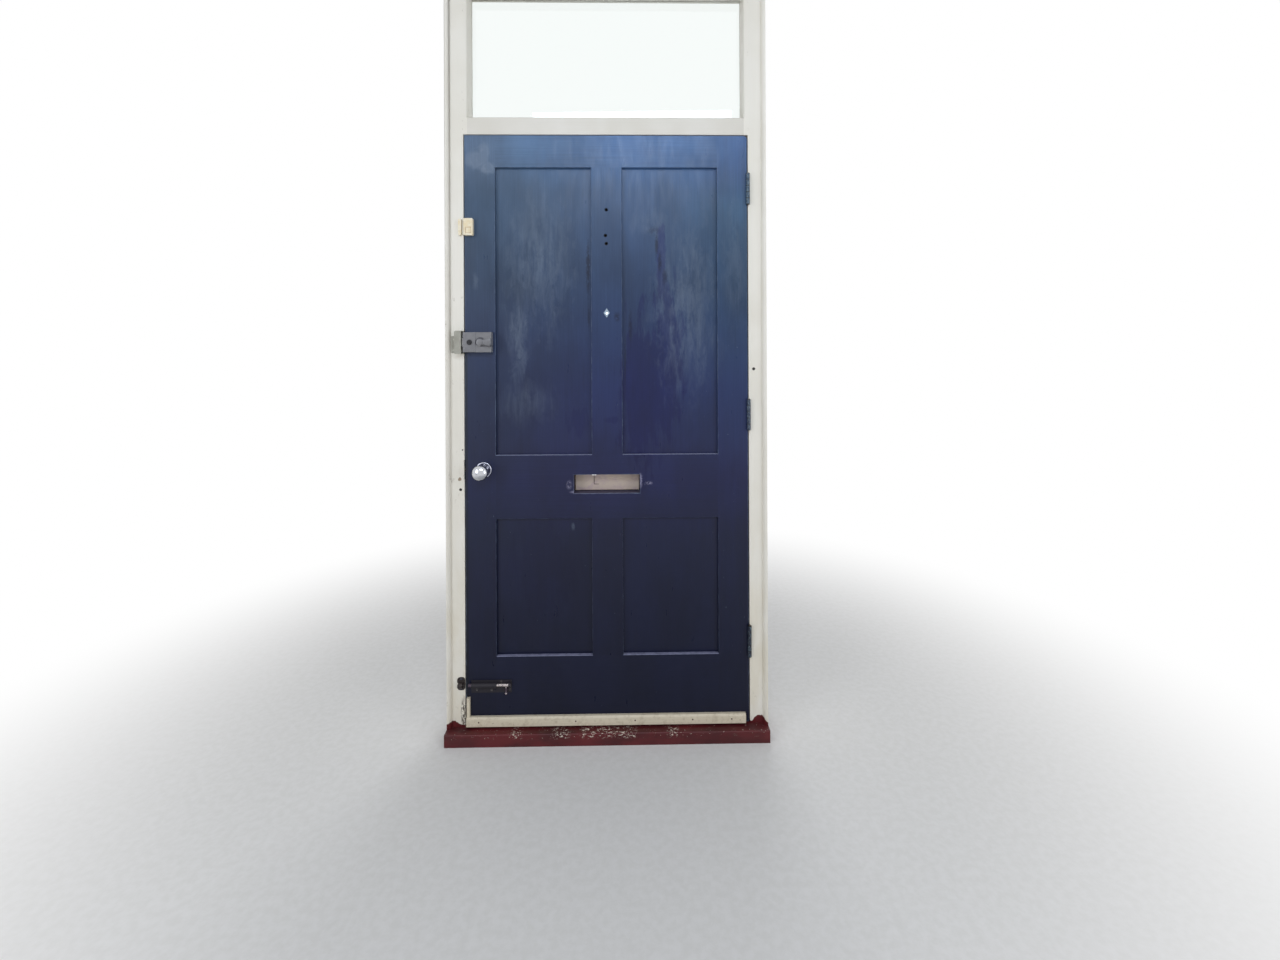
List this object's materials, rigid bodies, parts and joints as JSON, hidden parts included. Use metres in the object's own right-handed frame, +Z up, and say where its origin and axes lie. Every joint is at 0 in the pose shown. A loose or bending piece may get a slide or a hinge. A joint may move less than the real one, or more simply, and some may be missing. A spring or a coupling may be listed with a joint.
{
  "type": "panelled front door with frame",
  "caption": "Inward-opening panelled front door in a rebated timber frame with a fixed light above, nightlatch, knob latch, letter flap and barrel bolt.",
  "frame": {"origin": "centre of the sill's underside, below the middle of the frame's depth", "axes": "+X towards the hinge side along the width, -Y into the room, +Z up"},
  "size_m": [1.05, 0.1905, 2.529],
  "materials": {
    "door_paint": "worn gloss navy paint on softwood",
    "frame_paint": "yellowed off-white gloss paint on softwood",
    "sill_paint": "worn red paint on wood",
    "clear_glass": "clear window glass",
    "grey_metal": "satin grey cast case",
    "cream_metal": "overpainted cast keeper",
    "chrome": "polished chrome plate",
    "brass": "aged brass",
    "steel": "bare worn steel",
    "dark_steel": "dark painted steel",
    "hinge_metal": "painted steel, worn at the knuckles",
    "cream_plastic": "cream plastic",
    "cream_wood": "cream-painted softwood strip"
  },
  "bodies": {
    "frame": {"jamb_lock_side": "frame_paint", "jamb_hinge_side": "frame_paint", "transom": "frame_paint", "head": "frame_paint", "glazing_beads": "frame_paint", "cover_beads": "frame_paint", "sill": "sill_paint", "light_glass": "clear_glass", "nightlatch_keeper": "cream_metal", "bolt_keeper": "dark_steel", "latch_strike": "steel", "frame_screws": "dark_steel", "hinge_top_frame_leaf": "hinge_metal", "hinge_middle_frame_leaf": "hinge_metal", "hinge_bottom_frame_leaf": "hinge_metal", "hinge_pins": "hinge_metal", "contact_magnet": "cream_plastic"},
    "leaf": {"barrel_bolt_plate": "dark_steel", "bottom_rail": "door_paint", "contact_box": "cream_plastic", "corner_fillet": "cream_wood", "draught_strip": "cream_wood", "hinge_bottom_door_leaf": "hinge_metal", "hinge_middle_door_leaf": "hinge_metal", "hinge_top_door_leaf": "hinge_metal", "latch_case": "steel", "leaf_screws": "dark_steel", "letter_bolts": "steel", "letter_plate": "brass", "lock_rail": "door_paint", "lower_muntin": "door_paint", "nightlatch_case": "grey_metal", "nightlatch_plate": "dark_steel", "panel_lower_left": "door_paint", "panel_lower_right": "door_paint", "panel_upper_left": "door_paint", "panel_upper_right": "door_paint", "rim_cylinder": "brass", "rim_cylinder_screws": "steel", "rose_inner": "chrome", "rose_outer": "chrome", "stile_hinge_side": "door_paint", "stile_lock_side": "door_paint", "strip_nails": "dark_steel", "top_rail": "door_paint", "upper_muntin": "door_paint", "viewer_barrel": "chrome", "viewer_lens": "clear_glass"},
    "nightlatch_lever": {"nightlatch_lever": "grey_metal"},
    "nightlatch_bolt": {"nightlatch_bolt": "steel"},
    "nightlatch_snib": {"nightlatch_snib": "dark_steel"},
    "cylinder_plug": {"cylinder_plug": "brass"},
    "knobs": {"knob_inner": "chrome", "knob_outer": "chrome", "knob_spindle": "steel"},
    "latch_bolt": {"latch_bolt": "brass"},
    "letter_flap": {"letter_flap": "brass", "flap_spring": "steel"},
    "barrel_bolt_rod": {"barrel_bolt_rod": "steel"}
  },
  "joints": [
    {"name": "leaf_swing", "type": "hinge", "parent": "frame", "child": "leaf", "pos_m": [0.4665, -0.0545, 1.02], "axis": [0, 0, 1], "range_deg": [0, 100]},
    {"name": "nightlatch_lever_turn", "type": "hinge", "parent": "leaf", "child": "nightlatch_lever", "pos_m": [-0.408, -0.08, 1.3], "axis": [0, 1, 0], "range_deg": [0, 60], "stiffness_Nm_per_rad": 0.15, "springref_deg": -28.65},
    {"name": "nightlatch_bolt_slide", "type": "slide", "parent": "leaf", "child": "nightlatch_bolt", "axis": [1, 0, 0], "range_m": [0, 0.0176]},
    {"name": "nightlatch_snib_slide", "type": "slide", "parent": "leaf", "child": "nightlatch_snib", "axis": [0, 0, 1], "range_m": [0, 0.006]},
    {"name": "cylinder_plug_turn", "type": "hinge", "parent": "leaf", "child": "cylinder_plug", "pos_m": [-0.408, -0.018, 1.3], "axis": [0, 1, 0], "range_deg": [0, 90]},
    {"name": "knob_turn", "type": "hinge", "parent": "leaf", "child": "knobs", "pos_m": [-0.404, -0.0255, 0.882], "axis": [0, 1, 0], "range_deg": [0, 60], "stiffness_Nm_per_rad": 0.3, "springref_deg": -28.65},
    {"name": "latch_bolt_slide", "type": "slide", "parent": "leaf", "child": "latch_bolt", "axis": [1, 0, 0], "range_m": [0, 0.0111]},
    {"name": "letter_flap_swing", "type": "hinge", "parent": "leaf", "child": "letter_flap", "pos_m": [-0.002, -0.0073, 0.8575], "axis": [-1, 0, 0], "range_deg": [0, 75], "stiffness_Nm_per_rad": 0.05, "springref_deg": -17.19},
    {"name": "barrel_bolt_slide", "type": "slide", "parent": "leaf", "child": "barrel_bolt_rod", "axis": [-1, 0, 0], "range_m": [0, 0.027]}
  ],
  "couplings": [
    {"joint": "nightlatch_bolt_slide", "follows": "nightlatch_lever_turn", "m_per_rad": 0.016711},
    {"joint": "latch_bolt_slide", "follows": "knob_turn", "m_per_rad": 0.010504}
  ]
}
